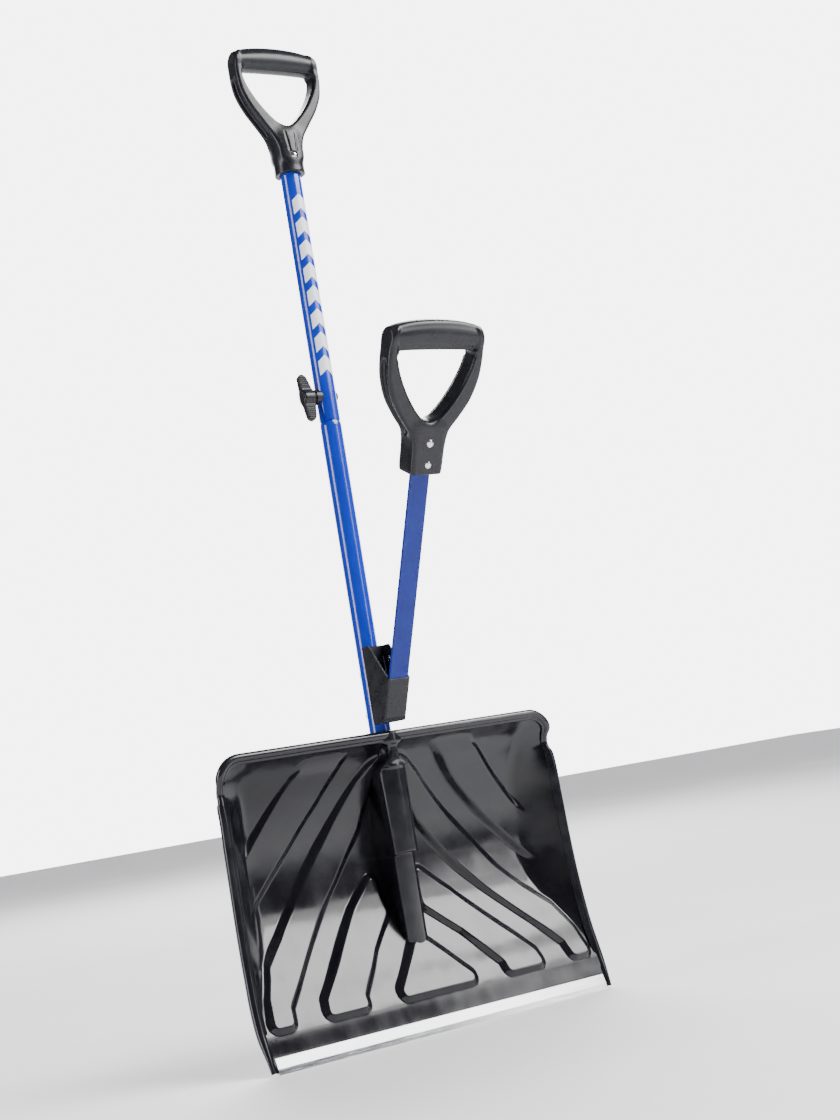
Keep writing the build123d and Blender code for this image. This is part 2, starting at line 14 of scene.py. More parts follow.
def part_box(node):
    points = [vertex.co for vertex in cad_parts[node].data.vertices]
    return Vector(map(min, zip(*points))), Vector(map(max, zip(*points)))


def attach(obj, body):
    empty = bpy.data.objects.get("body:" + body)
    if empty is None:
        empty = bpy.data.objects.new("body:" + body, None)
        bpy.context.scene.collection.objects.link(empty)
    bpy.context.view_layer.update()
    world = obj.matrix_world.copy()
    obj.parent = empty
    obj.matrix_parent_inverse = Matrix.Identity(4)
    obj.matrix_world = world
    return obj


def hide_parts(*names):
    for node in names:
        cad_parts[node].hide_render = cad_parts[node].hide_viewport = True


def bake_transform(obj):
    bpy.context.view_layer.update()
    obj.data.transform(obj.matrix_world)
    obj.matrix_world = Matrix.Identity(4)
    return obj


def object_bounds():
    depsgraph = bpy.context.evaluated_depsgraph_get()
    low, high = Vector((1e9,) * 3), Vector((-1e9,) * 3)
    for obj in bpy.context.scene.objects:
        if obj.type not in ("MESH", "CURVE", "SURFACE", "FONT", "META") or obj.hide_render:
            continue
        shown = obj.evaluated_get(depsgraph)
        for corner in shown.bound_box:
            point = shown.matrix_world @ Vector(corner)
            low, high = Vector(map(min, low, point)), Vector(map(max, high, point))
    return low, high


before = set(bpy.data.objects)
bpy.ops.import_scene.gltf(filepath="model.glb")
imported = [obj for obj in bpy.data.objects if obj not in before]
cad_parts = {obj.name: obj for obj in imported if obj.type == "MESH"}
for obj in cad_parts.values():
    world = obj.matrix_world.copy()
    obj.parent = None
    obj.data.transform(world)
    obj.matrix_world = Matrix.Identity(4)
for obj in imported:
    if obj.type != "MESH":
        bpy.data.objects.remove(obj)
cad_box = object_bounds()

MM = 0.001
SHAFT_Y = (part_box("upper_shaft")[0].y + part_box("upper_shaft")[1].y) / 2

# Scoop: smooth section up the middle of the floor, as (height, front face's y)
FLOOR_LINE = [(2, -55.6), (6, -55), (18, -50.6), (36, -45.2), (40, -43.8), (45, -41.2), (63, -31),
              (88, -18), (110, -4), (130, 8), (150, 18), (170, 24.5), (195, 27.5), (225, 28), (250, 26),
              (275, 20), (300, 10), (315, 1), (327, -7), (337, -16), (346, -25), (350, -29)]
# Half-width of the floor, to the crease where the side walls start, as (height, X)
CREASE_LINE = [(2, 228.4), (18, 228), (38, 226.5), (63, 221), (88, 212), (110, 204), (150, 193),
               (187, 189.5), (220, 188.5), (250, 189.5), (275, 191.5), (300, 193.5), (350, 193.5)]
# Centre line of the rolled rim up the right side, as (height, X) and (height, Y)
RIM_X = [(2, 234.2), (45, 235.5), (105, 234), (190, 232.5), (323, 231), (350, 230.5)]
RIM_Y = [(2, -54.5), (12, -51.5), (45, -39), (75, -31), (105, -26.5), (150, -22), (190, -20),
         (250, -18.5), (292, -17), (302, -15), (311, -12.5), (320, -15), (330, -21), (350, -22)]
RIM_TOP = 350.0
RIM_CORNER_R = 27.0
RIM_R = 5.5
RIM_INSET = 4.0
SKIN = 3.0
RIB_RISE = 7.0
RIB_DRAFT = 7.0
HOOD_FRONT = -25.5

# Shaft and grips
UPPER_R = 13.0
KNOB_Z = 777.0
LEAN = radians(28.5)
PIVOT = (-30.0, 385.0)
PIVOT_TO_BAR = 14.2


# ------------------------------------------------------------------ numbers and curves


def curve(points, at):
    """A smooth line through given (position, value) points, read at positions."""
    t, v = np.array(points, float).T
    slope = np.gradient(v, t)
    at = np.clip(at, t[0], t[-1])
    i = np.clip(np.searchsorted(t, at) - 1, 0, len(t) - 2)
    span = t[i + 1] - t[i]
    s = (at - t[i]) / span
    low, high = v[i], v[i + 1]
    return (low * (1 + 2 * s) * (1 - s) ** 2 + high * s * s * (3 - 2 * s)
            + span * s * (1 - s) * (slope[i] * (1 - s) - slope[i + 1] * s))


def blend_max(a, b, r):
    """The larger of two distances, with the edge between them rounded over r."""
    near = np.maximum(r - np.abs(a - b), 0) / r
    return np.maximum(a, b) + near * near * r / 4


def blend_min(a, b, r):
    return -blend_max(-a, -b, r)


def ease(t):
    t = np.clip(t, 0, 1)
    return t * t * (3 - 2 * t)


def outline_distance(x, z, outline):
    """Signed distance from points to a closed outline, negative inside."""
    x, z = np.broadcast_arrays(x, z)
    nearest = np.full(x.shape, 1e9)
    inside = np.zeros(x.shape, bool)
    for (ax, az), (bx, bz) in zip(outline, np.roll(outline, -1, axis=0)):
        dx, dz = bx - ax, bz - az
        share = np.clip(((x - ax) * dx + (z - az) * dz) / (dx * dx + dz * dz), 0, 1)
        nearest = np.minimum(nearest, (x - ax - share * dx) ** 2 + (z - az - share * dz) ** 2)
        if dz != 0:
            crosses = ((az > z) != (bz > z)) & (x < ax + dx * (z - az) / dz)
            inside ^= crosses
    return np.where(inside, -1, 1) * np.sqrt(nearest)


def rounded(outline, radius, step=2.0):
    """A closed outline of straight runs with its corners rounded."""
    points = np.array(outline, float)
    made = []
    for before, corner, after in zip(np.roll(points, 1, 0), points, np.roll(points, -1, 0)):
        a, b = before - corner, after - corner
        la, lb = np.linalg.norm(a), np.linalg.norm(b)
        half = np.arccos(np.clip(a @ b / la / lb, -1, 1)) / 2
        reach = min(radius / np.tan(half), 0.45 * la, 0.45 * lb)
        start, end = corner + a / la * reach, corner + b / lb * reach
        for t in np.linspace(0, 1, max(3, int(2 * reach / step) + 1)):
            made.append((1 - t) ** 2 * start + 2 * t * (1 - t) * corner + t * t * end)
    return np.array(made)


def spread(outline, step):
    """Points along a closed outline, no further apart than step."""
    made = []
    for a, b in zip(outline, np.roll(outline, -1, 0)):
        count = max(1, int(np.ceil(np.linalg.norm(b - a) / step)))
        made += [a + (b - a) * k / count for k in range(count)]
    return np.array(made)


# ------------------------------------------------------------------ places and meshes


def shaft_frame(points):
    """From the shaft's own millimetres to the row frame in metres."""
    return np.asarray(points, float) * MM + (0, SHAFT_Y, 0)


def arm_frame(points):
    """From millimetres about the assist handle's pivot to the row frame."""
    x, y, z = np.asarray(points, float).T
    ahead = PIVOT[0] + y * cos(LEAN) - z * sin(LEAN)
    up = PIVOT[1] + y * sin(LEAN) + z * cos(LEAN)
    return shaft_frame(np.stack([x, ahead, up], 1))


def turned(normals, place):
    """Directions carried along by a placing function."""
    return place(normals) - place(np.zeros((1, 3)))


def mesh_piece(name, points, faces, finish, normals=None):
    mesh = bpy.data.meshes.new(name)
    mesh.from_pydata([tuple(p) for p in points], [], faces)
    mesh.update()
    mesh.shade_smooth()
    if normals is not None:
        lengths = np.linalg.norm(normals, axis=1, keepdims=True)
        mesh.normals_split_custom_set_from_vertices((normals / np.maximum(lengths, 1e-9)).tolist())
    piece = bpy.data.objects.new(name, mesh)
    bpy.context.scene.collection.objects.link(piece)
    mesh.materials.append(finish)
    return piece


def net(field, low, high, step):
    """Mesh the surface where field is 0, with its outward normals, by surface nets.

    field takes x, y and z arrays and is negative inside. The points are then moved onto it.
    """
    axes = [np.arange(a, b + step, step) for a, b in zip(low, high)]
    values = field(*np.meshgrid(*axes, indexing="ij", sparse=True))
    inside = np.broadcast_to(values, [len(a) for a in axes]) < 0
    cells = [n - 1 for n in inside.shape]
    corners = sum(inside[i:i + cells[0], j:j + cells[1], k:k + cells[2]].astype(int)
                  for i in (0, 1) for j in (0, 1) for k in (0, 1))
    mixed = (corners > 0) & (corners < 8)
    number = np.full(mixed.shape, -1)
    number[mixed] = np.arange(mixed.sum())
    points = np.array(low) + (np.argwhere(mixed) + 0.5) * step
    faces = []
    for axis in range(3):
        u, v = (axis + 1) % 3, (axis + 2) % 3
        here = np.moveaxis(inside, (axis, u, v), (0, 1, 2))
        cell = np.moveaxis(number, (axis, u, v), (0, 1, 2))
        low_in, high_in = here[:-1, 1:-1, 1:-1], here[1:, 1:-1, 1:-1]
        for found, order in ((low_in & ~high_in, 1), (~low_in & high_in, -1)):
            i, j, k = np.nonzero(found)
            ring = [cell[i, j, k], cell[i, j + 1, k], cell[i, j + 1, k + 1], cell[i, j, k + 1]]
            faces.append(np.stack(ring[::order], 1))
    faces = np.concatenate(faces)

    def gradient(p, reach=0.15):
        steps = np.eye(3) * reach
        return np.stack([(field(*(p + s).T) - field(*(p - s).T)) / (2 * reach) for s in steps], 1)

    for _ in range(4):
        slope = gradient(points)
        size = np.maximum((slope ** 2).sum(1), 0.05)
        move = (field(*points.T) / size)[:, None] * slope
        limit = np.linalg.norm(move, axis=1, keepdims=True)
        points = points - move * np.minimum(1, 0.5 * step / np.maximum(limit, 1e-9))
    return points, faces.tolist(), gradient(points)


def net_piece(name, field, low, high, step, finish, place=shaft_frame):
    points, faces, normals = net(field, low, high, step)
    return mesh_piece(name, place(points), faces, finish, turned(normals, place))


def capsule(x, y, z, start, end, radius):
    """Distance to a round-ended bar."""
    a, b = np.array(start, float), np.array(end, float)
    d = b - a
    share = np.clip(((x - a[0]) * d[0] + (y - a[1]) * d[1] + (z - a[2]) * d[2]) / (d @ d), 0, 1)
    off = [x - a[0] - share * d[0], y - a[1] - share * d[1], z - a[2] - share * d[2]]
    return np.sqrt(off[0] ** 2 + off[1] ** 2 + off[2] ** 2) - radius


def joined(*parts):
    """One set of points, faces and normals from several."""
    points, faces, normals, count = [], [], [], 0
    for p, f, n in parts:
        points.append(p)
        normals.append(n)
        faces += [[i + count for i in face] for face in f]
        count += len(p)
    return np.concatenate(points), faces, np.concatenate(normals)


def swept(path, across, ahead, profile, scale=None):
    """A closed profile of (across, ahead) points carried along a path, with capped ends."""
    path, across, ahead = (np.asarray(a, float) for a in (path, across, ahead))
    scale = np.ones(len(path)) if scale is None else scale
    k, n = len(path), len(profile)
    flat = np.roll(profile, -1, 0) - np.roll(profile, 1, 0)
    out = np.stack([flat[:, 1], -flat[:, 0]], 1)
    section = profile[None, :, :1] * across[:, None] + profile[None, :, 1:] * ahead[:, None]
    points = (path[:, None] + section * scale[:, None, None]).reshape(-1, 3)
    normals = (out[None, :, :1] * across[:, None] + out[None, :, 1:] * ahead[:, None]).reshape(-1, 3)
    turns = np.cross(across[0], ahead[0]) @ (path[1] - path[0]) > 0
    faces = []
    for i in range(k - 1):
        for j in range(n):
            ring = [i * n + j, i * n + (j + 1) % n, (i + 1) * n + (j + 1) % n, (i + 1) * n + j]
            faces.append(ring if turns else ring[::-1])
    first, last = list(range(n)), list(range((k - 1) * n, k * n))
    faces += [first[::-1], last] if turns else [first, last[::-1]]
    return points, faces, normals


def wire(path, radius, sides=12):
    """A round wire along a path of points."""
    path = np.asarray(path, float)
    along = np.gradient(path, axis=0)
    along /= np.linalg.norm(along, axis=1, keepdims=True)
    side = np.cross(along[0], (0.3, 0.5, 0.8))
    across = []
    for t in along:
        side = side - t * (side @ t)
        side /= np.linalg.norm(side)
        across.append(side)
    across = np.array(across)
    ring = np.linspace(0, 2 * pi, sides, endpoint=False)
    circle = radius * np.stack([np.cos(ring), np.sin(ring)], 1)
    return swept(path, across, np.cross(along, across), circle)


# ------------------------------------------------------------------ scoop


def rib_outlines():
    """Top edges of the raised panels in X and Z, right of the socket and mirrored, and the centre one."""
    upper = [(107, 342), (142, 301), (172, 262), (190, 240), (224, 204), (224, 145), (189, 186), (138, 240),
             (98, 287), (60, 342)]
    middle = [(8, 334), (41, 301), (80, 250), (121, 199), (145, 167), (172, 137), (199, 111), (214, 78),
              (220, 47), (196, 47), (192, 66), (171, 91), (126, 141), (84, 190), (42, 246)]
    lower = [(30, 189), (68, 152), (110, 104), (146, 64), (150, 47), (99, 47), (98, 60), (62, 106), (26, 142)]
    centre = [(0, 107), (10, 101), (40, 66), (50, 55), (48, 47), (-48, 47), (-50, 55), (-40, 66), (-10, 101)]
    made = [rounded(centre, 7)]
    for outline in (upper, middle, lower):
        made.append(rounded(outline, 6))
        made.append(rounded([(-x, z) for x, z in outline], 6))
    return made


RIBS = rib_outlines()


def rib_height(x, z):
    """How far the ribs stand out, from 0 to 1, with rounded edges at their top and foot."""
    highest = np.zeros(np.broadcast(x, z).shape)
    edge = 0.7 / RIB_DRAFT
    for outline in RIBS:
        low, high = outline.min(0) - RIB_DRAFT - 3, outline.max(0) + RIB_DRAFT + 3
        near = (x > low[0]) & (x < high[0]) & (z > low[1]) & (z < high[1])
        t = outline_distance(x[near], z[near], outline) / RIB_DRAFT
        foot = blend_max(1 - t, np.zeros_like(t), edge * 2)
        height = blend_min(foot, np.ones_like(t), edge * 2)
        highest[near] = np.maximum(highest[near], height)
    return highest


def scoop_front(x, z):
    """The scoop's front face: the ribbed floor, met by the side walls in a rounded crease."""
    plain = curve(FLOOR_LINE, z)
    crease = curve(CREASE_LINE, z)
    slope = np.minimum((curve(RIM_Y, z) - plain) / (curve(RIM_X, z) - crease), 0)
    wall = plain + slope * (np.abs(x) - crease)
    ribbed = plain - RIB_RISE * rib_height(x, z) * ease((338 - z) / 22)
    return blend_min(ribbed, wall, np.clip(8 * np.abs(slope), 0.2, 8))


def rim_path(inset=0.0):
    """The rim's centre line from the left tip round to the right one, moved in by inset."""
    turn = RIM_CORNER_R
    up = np.arange(2.5, RIM_TOP - turn, 4)
    side = np.stack([curve(RIM_X, up) - inset, up], 1)
    arc = np.linspace(0, pi / 2, 14)
    centre = np.array([curve(RIM_X, RIM_TOP - turn) - turn, RIM_TOP - turn])
    corner = centre + (turn - inset) * np.stack([np.cos(arc), np.sin(arc)], 1)
    top = np.stack([np.linspace(centre[0], 0, 46)[1:], np.full(45, RIM_TOP - inset)], 1)
    right = np.concatenate([side, corner, top])
    left = right[:-1] * (-1, 1)
    return np.concatenate([left, right[::-1]])


# How far from a rib's top edge, and from the crease, the panel's mesh has lines of points
RIB_LINES = (-2.0, -0.9, -0.2, 0.5, 1.2, RIB_DRAFT / 2, RIB_DRAFT - 1.2, RIB_DRAFT - 0.5,
             RIB_DRAFT + 0.2, RIB_DRAFT + 0.9, RIB_DRAFT + 2.0)
CREASE_LINES = (-9, -6, -4, -2, 0, 2, 4, 6, 8, 10, 13)


def scoop_panel():
    """The moulded panel: its ribbed front, its back a skin behind, and the edge between."""
    outer = rim_path(RIM_INSET)
    outer = outer[outer[:, 1] > 3]
    span = curve(RIM_X, 2.0) - RIM_INSET
    lip = np.stack([np.linspace(span, -span, 90), np.full(90, 2.0)], 1)
    border = np.concatenate([outer, lip])
    points = [*border]
    for outline in RIBS:
        around = np.roll(outline, -1, 0) - np.roll(outline, 1, 0)
        away = np.stack([around[:, 1], -around[:, 0]], 1)
        away /= np.maximum(np.linalg.norm(away, axis=1, keepdims=True), 1e-9)
        area = np.sum(outline[:, 0] * np.roll(outline[:, 1], -1) - np.roll(outline[:, 0], -1) * outline[:, 1])
        away *= np.sign(area)
        for offset in RIB_LINES:
            loop = spread(outline + away * offset, 3.0)
            loop = loop[outline_distance(loop[:, 0], loop[:, 1], border) < -1]
            loop = loop[np.abs(outline_distance(loop[:, 0], loop[:, 1], outline)) > abs(offset) - 0.3]
            points += [*loop]
    for offset in CREASE_LINES:
        up = np.arange(5, 340, 4.0)
        for side in (-1, 1):
            line = np.stack([side * (curve(CREASE_LINE, up) + offset), up], 1)
            points += [*line[outline_distance(line[:, 0], line[:, 1], border) < -1.5]]
    grid = np.stack(np.meshgrid(np.arange(-230, 231, 6.0), np.arange(6, 347, 5.0)), -1).reshape(-1, 2)
    points += [*grid[outline_distance(grid[:, 0], grid[:, 1], border) < -2]]
    made = delaunay_2d_cdt([Vector(p) for p in points], [], [list(range(len(border)))], 1, 1e-4)
    flat = np.array([tuple(p) for p in made[0]])
    triangles = np.array(made[2])
    x, z = flat.T
    y = scoop_front(x, z)
    reach = 0.25
    lean_x = (scoop_front(x + reach, z) - scoop_front(x - reach, z)) / (2 * reach)
    lean_z = (scoop_front(x, z + reach) - scoop_front(x, z - reach)) / (2 * reach)
    normals = np.stack([lean_x, -np.ones_like(x), lean_z], 1)
    front = np.stack([x, y, z], 1)
    skin = SKIN - 1 + np.clip((z - 2) / 4, 0, 1)
    back = front + np.stack([0 * x, skin, 0 * x], 1)
    a, b, c = (front[triangles[:, i]] for i in range(3))
    facing = np.cross(b - a, c - a)[:, 1].sum() < 0
    fore = triangles if facing else triangles[:, ::-1]
    count = len(front)
    faces = fore.tolist() + (fore[:, ::-1] + count).tolist()
    used = {}
    for face in fore.tolist():
        for i, j in zip(face, face[1:] + face[:1]):
            used[(i, j)] = used.get((i, j), 0) + 1
    for i, j in used:
        if (j, i) not in used:
            faces.append([j, i, i + count, j + count])
    return np.concatenate([front, back]), faces, np.concatenate([normals, -normals])


def scoop_rim():
    """The rolled edge: a round bead with a small step on its inner side, thinner at its two tips."""
    flat = rim_path()
    up = flat[:, 1]
    beside = ease((np.abs(flat[:, 0]) - 215) / 8)
    gap = ease((up - 296) / 9) * ease((332 - up) / 12) * beside
    path = np.stack([flat[:, 0] - np.sign(flat[:, 0]) * 1.6 * gap, curve(RIM_Y, up), up], 1)
    along = np.gradient(path, axis=0)
    along /= np.linalg.norm(along, axis=1, keepdims=True)
    ahead = np.array([0, -1.0, 0]) - along * (along @ np.array([0, -1.0, 0]))[:, None]
    ahead /= np.linalg.norm(ahead, axis=1, keepdims=True)
    across = np.cross(ahead, along)
    turn = np.linspace(0, 2 * pi, 40, endpoint=False)
    step_at, step_r, step_turn = 6.2, 1.7, radians(172)
    sine = step_at * np.sin(turn - step_turn)
    inside = np.maximum(step_r ** 2 - sine ** 2, 0)
    bump = np.where(np.cos(turn - step_turn) > 0,
                    step_at * np.cos(turn - step_turn) + np.sqrt(inside), 0) * (inside > 0)
    radius = np.maximum(RIM_R, bump)
    profile = np.stack([radius * np.cos(turn), radius * np.sin(turn)], 1)
    if (across[0] * (-1, 0, 0)).sum() < 0:
        across = -across
        profile = profile[::-1]
    ends = (0.5 + 0.5 * ease((up - 2) / 45)) * (1 - 0.28 * gap)
    return swept(path, across, ahead, profile, ends)


def socket_field(x, y, z):
    """The socket round the shaft: a hood, the sleeve under it, and the pinch and collar at the rim."""
    hood_r = 18.5 + 2.2 * np.clip((z - 207) / 95, 0, 1)
    hood = np.hypot(x, np.minimum(y - HOOD_FRONT - hood_r, 0)) - hood_r
    hood = blend_max(hood, z - 317 + x * x / 70, 6)
    hood = blend_max(hood, 209 - x * x / 90 - z, 2)
    sleeve = np.hypot(x, np.minimum(y + 1, 0)) - 16.2
    sleeve = blend_max(sleeve, np.maximum(96 - z, z - 240), 4)
    web = blend_max(np.abs(x) - 6.5 - (z - 331) ** 2 / 22, -(y + 24.5), 4)
    web = np.maximum(web, np.abs(z - 330) - 17)
    collar = np.hypot(x, y + 8) - 20.5
    collar = blend_max(blend_max(collar, np.abs(z - 347.5) - 8, 4), y + 13.8, 2)
    cover = blend_max(np.hypot(x, np.minimum(y + 1, 0)) - 15.6, np.abs(z - 322) - 24, 2)
    roof = blend_min(blend_min(web, cover, 8), collar, 4)
    whole = blend_min(blend_min(hood, sleeve, 2), roof, 4)
    return np.maximum(whole, y - curve(FLOOR_LINE, z) - 1.5)


def make_scoop(finish):
    socket = net(socket_field, (-24, -34, 90), (24, 34, 360), 1.5)
    points, faces, normals = joined(scoop_panel(), scoop_rim(), socket)
    piece = mesh_piece("scoop", shaft_frame(points), faces, finish, normals)
    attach(piece, "shaft_and_scoop")
    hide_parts("blade")


# ------------------------------------------------------------------ hand grips


def smooth_loop(points, steps=7):
    """A closed Catmull-Rom curve through points."""
    p = np.array(points, float)
    before, after, later = np.roll(p, 1, 0), np.roll(p, -1, 0), np.roll(p, -2, 0)
    made = []
    for t in np.arange(steps) / steps:
        made.append(0.5 * (2 * p + (after - before) * t + (2 * before - 5 * p + 4 * after - later) * t ** 2
                           + (3 * p - before - 3 * after + later) * t ** 3))
    return np.stack(made, 1).reshape(-1, 2)


def both_sides(right):
    """A closed loop from its right half, given from the bottom up."""
    return right + [(-x, z) for x, z in reversed(right) if x > 0]


ARM_HALF_DEPTH = 12.5
BAR_HALF_DEPTH = 13


class Grip:
    """A D-shaped hand grip from the right halves of its outline and opening in X and Z, bottom up."""

    def __init__(self, outline, opening):
        self.outer = smooth_loop(both_sides(outline))
        self.hole = smooth_loop(both_sides(opening))
        self.apex, self.opening_top, self.top = opening[0][1], opening[-1][1], outline[-1][1]
        self.reach = max(x for x, z in outline)

    def field(self, x, y, z, neck_depth):
        outside = outline_distance(x, z, self.outer)
        opening = outline_distance(x, z, self.hole)
        deep = np.abs(y)
        depth = ARM_HALF_DEPTH + (neck_depth - ARM_HALF_DEPTH) * ease((self.apex + 6 - z) / 42)
        depth = depth - 5 * ease((z - self.opening_top + 4) / 7) * ease((self.reach - 7 - np.abs(x)) / 8)
        frame_2d = blend_max(outside, -opening, 2)
        arms = blend_max(frame_2d, deep - depth, 5)
        channel = blend_max(deep - 6.0, -4.5 - outside, 3)
        channel = blend_max(channel, np.maximum(z - self.opening_top + 10, self.apex - 16 - z), 10)
        arms = blend_max(arms, -channel, 2.5)
        share = x / (self.reach - 7)
        above = self.top - 6 * share ** 2
        below = self.opening_top - 1.0 * share ** 2
        half = (above - below) / 2
        round_bar = np.hypot(y / BAR_HALF_DEPTH, (z - (above + below) / 2) / half)
        bar = (round_bar - 1) * np.minimum(BAR_HALF_DEPTH, half)
        bar = blend_max(bar, np.abs(x) - self.reach + 1.5, 3)
        return blend_min(arms, bar, 3), opening


UPPER_GRIP = Grip(
    [(8, 1084), (14.5, 1088), (16, 1100), (23, 1116), (36, 1135), (48, 1153), (56.5, 1172), (59.5, 1190),
     (59.5, 1208), (57, 1219.5), (50, 1229), (30, 1233.5), (0, 1235)],
    [(0, 1128), (8, 1132), (20, 1142.5), (34.5, 1160), (45.5, 1179), (50.5, 1195),
     (48.5, 1202), (43, 1204.3), (0, 1205)])
ASSIST_GRIP = Grip(
    [(10, 297), (19, 300), (20.5, 328), (26.5, 345), (39.5, 362), (52.5, 382), (60.5, 405), (63, 426),
     (62.5, 444), (59.5, 456), (53, 465.5), (31, 470.5), (0, 472)],
    [(0, 354.5), (8, 358.5), (21, 371), (35, 391), (46, 413), (51, 430),
     (49, 436.5), (43, 438.8), (0, 439.5)])
UPPER_BASE = 1067.0
UPPER_SOCKET_R, UPPER_SOCKET_TAPER, UPPER_SOCKET_LENGTH = 19.5, 2.3, 52
UPPER_SCREW_Z = 1088.0
ASSIST_BASE = 296.0
ASSIST_BOLTS = (308.0, 333.0)
# Half the width and thickness of the slot for the flat bar, and the slot's top
SLOT_HALF_WIDTH, SLOT_HALF_DEPTH, SLOT_TOP = 12.8, 1.7, 346.5


def upper_grip_field(x, y, z):
    body, _ = UPPER_GRIP.field(x, y, z, neck_depth=15)
    round_out = np.hypot(x, y)
    rise = np.clip((z - UPPER_BASE) / UPPER_SOCKET_LENGTH, 0, 1)
    cone = round_out - UPPER_SOCKET_R + UPPER_SOCKET_TAPER * rise
    body = blend_min(body, blend_max(cone, z - UPPER_BASE - 60, 16), 10)
    for side in (-1, 1):
        top, foot = (side * 7.5, -18.2, UPPER_BASE + 54), (side * 5.0, -19.6, UPPER_BASE + 27)
        flute = capsule(x, y, z, top, foot, 1.6)
        body = blend_max(body, -flute, 1.0)
    body = blend_max(body, UPPER_BASE - z, 1.5)
    body = blend_max(body, -np.maximum(round_out - UPPER_R - 0.05, z - 1122), 1.0)
    seat = np.maximum(np.hypot(x, z - UPPER_SCREW_Z) - 4.8, y + 18.4)
    return np.maximum(body, -seat)


def assist_grip_field(x, y, z):
    y = y + PIVOT_TO_BAR
    body, opening = ASSIST_GRIP.field(x, y, z, neck_depth=14)
    half_width = 19 + np.clip((z - ASSIST_BASE) / 56, 0, 1)
    box = blend_max(np.abs(x) - half_width, np.abs(y) - 14, 7)
    body = blend_min(body, blend_max(box, z - ASSIST_BASE - 62, 14), 8)
    lip = np.hypot(opening - 1.6, np.abs(y) - 12.0) - 1.2
    body = blend_min(body, blend_max(lip, z - 430, 2), 0.6)
    body = blend_max(body, ASSIST_BASE - z, 1.5)
    slot = np.maximum(np.maximum(np.abs(x) - SLOT_HALF_WIDTH, np.abs(y) - SLOT_HALF_DEPTH), z - SLOT_TOP)
    body = blend_max(body, -slot, 0.8)
    for bolt_z in ASSIST_BOLTS:
        flats = [np.abs(x * cos(a) + (z - bolt_z) * sin(a)) for a in (0, pi / 3, 2 * pi / 3)]
        pocket = np.maximum(np.maximum(flats[0], np.maximum(flats[1], flats[2])) - 5.1, 9.0 - y)
        body = np.maximum(body, -pocket)
    return body


def make_grips(finish):
    upper = net_piece("upper_hand_grip", upper_grip_field, (-71, -24, 1063), (71, 24, 1238), 1.3,
                      finish)
    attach(upper, "shaft_and_scoop")
    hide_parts("upper_grip")
    assist = net_piece("assist_hand_grip", assist_grip_field, (-73, -32, 292), (73, 4, 475), 1.3,
                       finish, arm_frame)
    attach(assist, "assist_arm")
    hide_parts("assist_grip")


# ------------------------------------------------------------------ clamp knob and spring

KNOB_IN, KNOB_OUT = -18.25, -34.25
KNOB_LEAN = radians(-12)
WING_HALF = 31.5


def knob_field(x, y, z):
    """The wing knob: two tapered wings in the plane of its axis, ridged on their flats, on a round hub."""
    z = z - KNOB_Z
    along = np.abs(z * cos(KNOB_LEAN) - y * sin(KNOB_LEAN))
    across = y * cos(KNOB_LEAN) + z * sin(KNOB_LEAN)
    share = np.clip((along - 6) / 24, 0, 1)
    middle = -26.4 - 1.8 * share
    half = 8.2 - 2.7 * share
    tip = np.maximum(along - WING_HALF + half, 0)
    outline = np.hypot(tip, np.maximum(np.abs(x - middle) - half + 3.8, 0)) - 3.8
    outline = np.where(tip > 0, np.hypot(tip, x - middle) - half, outline)
    ridge = 0.5 * np.cos(2 * pi * along / 2.7) * ease((along - 10) / 3) * ease((31 - along) / 3)
    ridge = ridge * ease((-outline - 0.8) / 1.0)
    wings = blend_max(outline, np.abs(across) - 4.4 + 0.9 * share - ridge, 1.6)
    hub = blend_max(np.hypot(y, z) - 9.3, np.abs(x - (KNOB_IN + KNOB_OUT) / 2) - 8, 3)
    body = np.maximum(blend_min(wings, hub, 2.5), x - KNOB_IN)
    return np.maximum(body, -np.maximum(np.hypot(y, z) - 3.4, KNOB_OUT + 3.5 - x))


def make_knob(finish):
    low = (KNOB_OUT - 2, -18, KNOB_Z - 35)
    high = (KNOB_IN + 1, 18, KNOB_Z + 35)
    knob = net_piece("clamp_wing_knob", knob_field, low, high, 0.6, finish)
    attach(knob, "clamp_knob")
    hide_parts("wing_knob")


WIRE_R = 1.2
COIL_R = 8.0
COIL_PITCH = 2.5
BOW_X, LEG_X = 5.3, 11.5
BOW_TURN = radians(33.3)
BOW_LENGTH = 36
BEND_R = 2
LEG_TOP = (-16.4, 446.0)


def spring_half(side):
    """One half of the spring's centre line: a leg up the rear wall, a coil and half the bow."""
    y0, z0 = PIVOT
    leg = [(side * LEG_X, LEG_TOP[0] + (y0 + COIL_R - LEG_TOP[0]) * t, LEG_TOP[1] + (z0 - LEG_TOP[1]) * t)
           for t in np.linspace(0, 1, 12)[:-1]]
    turns = (LEG_X - BOW_X) / COIL_PITCH
    sweep = 2 * pi * round(turns) + pi + BOW_TURN
    coil = []
    for t in np.linspace(0, 1, 90):
        turn = -sweep * t
        x = LEG_X - (LEG_X - BOW_X) * t
        coil.append((side * x, y0 + COIL_R * cos(turn), z0 + COIL_R * sin(turn)))
    foot = np.array(coil[-1])
    up = np.array((0, -sin(BOW_TURN), cos(BOW_TURN)))
    bow = [foot + up * t for t in np.linspace(0, BOW_LENGTH, 12)[1:]]
    bend = [bow[-1] + up * BEND_R * sin(a) - np.array((side * BEND_R * (1 - cos(a)), 0, 0))
            for a in np.linspace(0, pi / 2, 6)[1:]]
    return leg + coil + bow + bend


def make_spring(finish):
    left, right = spring_half(-1), spring_half(1)
    path = np.array([*left, *right[::-1]], float)
    points, faces, normals = wire(path, WIRE_R)
    spring = mesh_piece("torsion_spring", shaft_frame(points), faces, finish, normals)
    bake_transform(spring)
    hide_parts("assist_spring")


# ------------------------------------------------------------------ materials


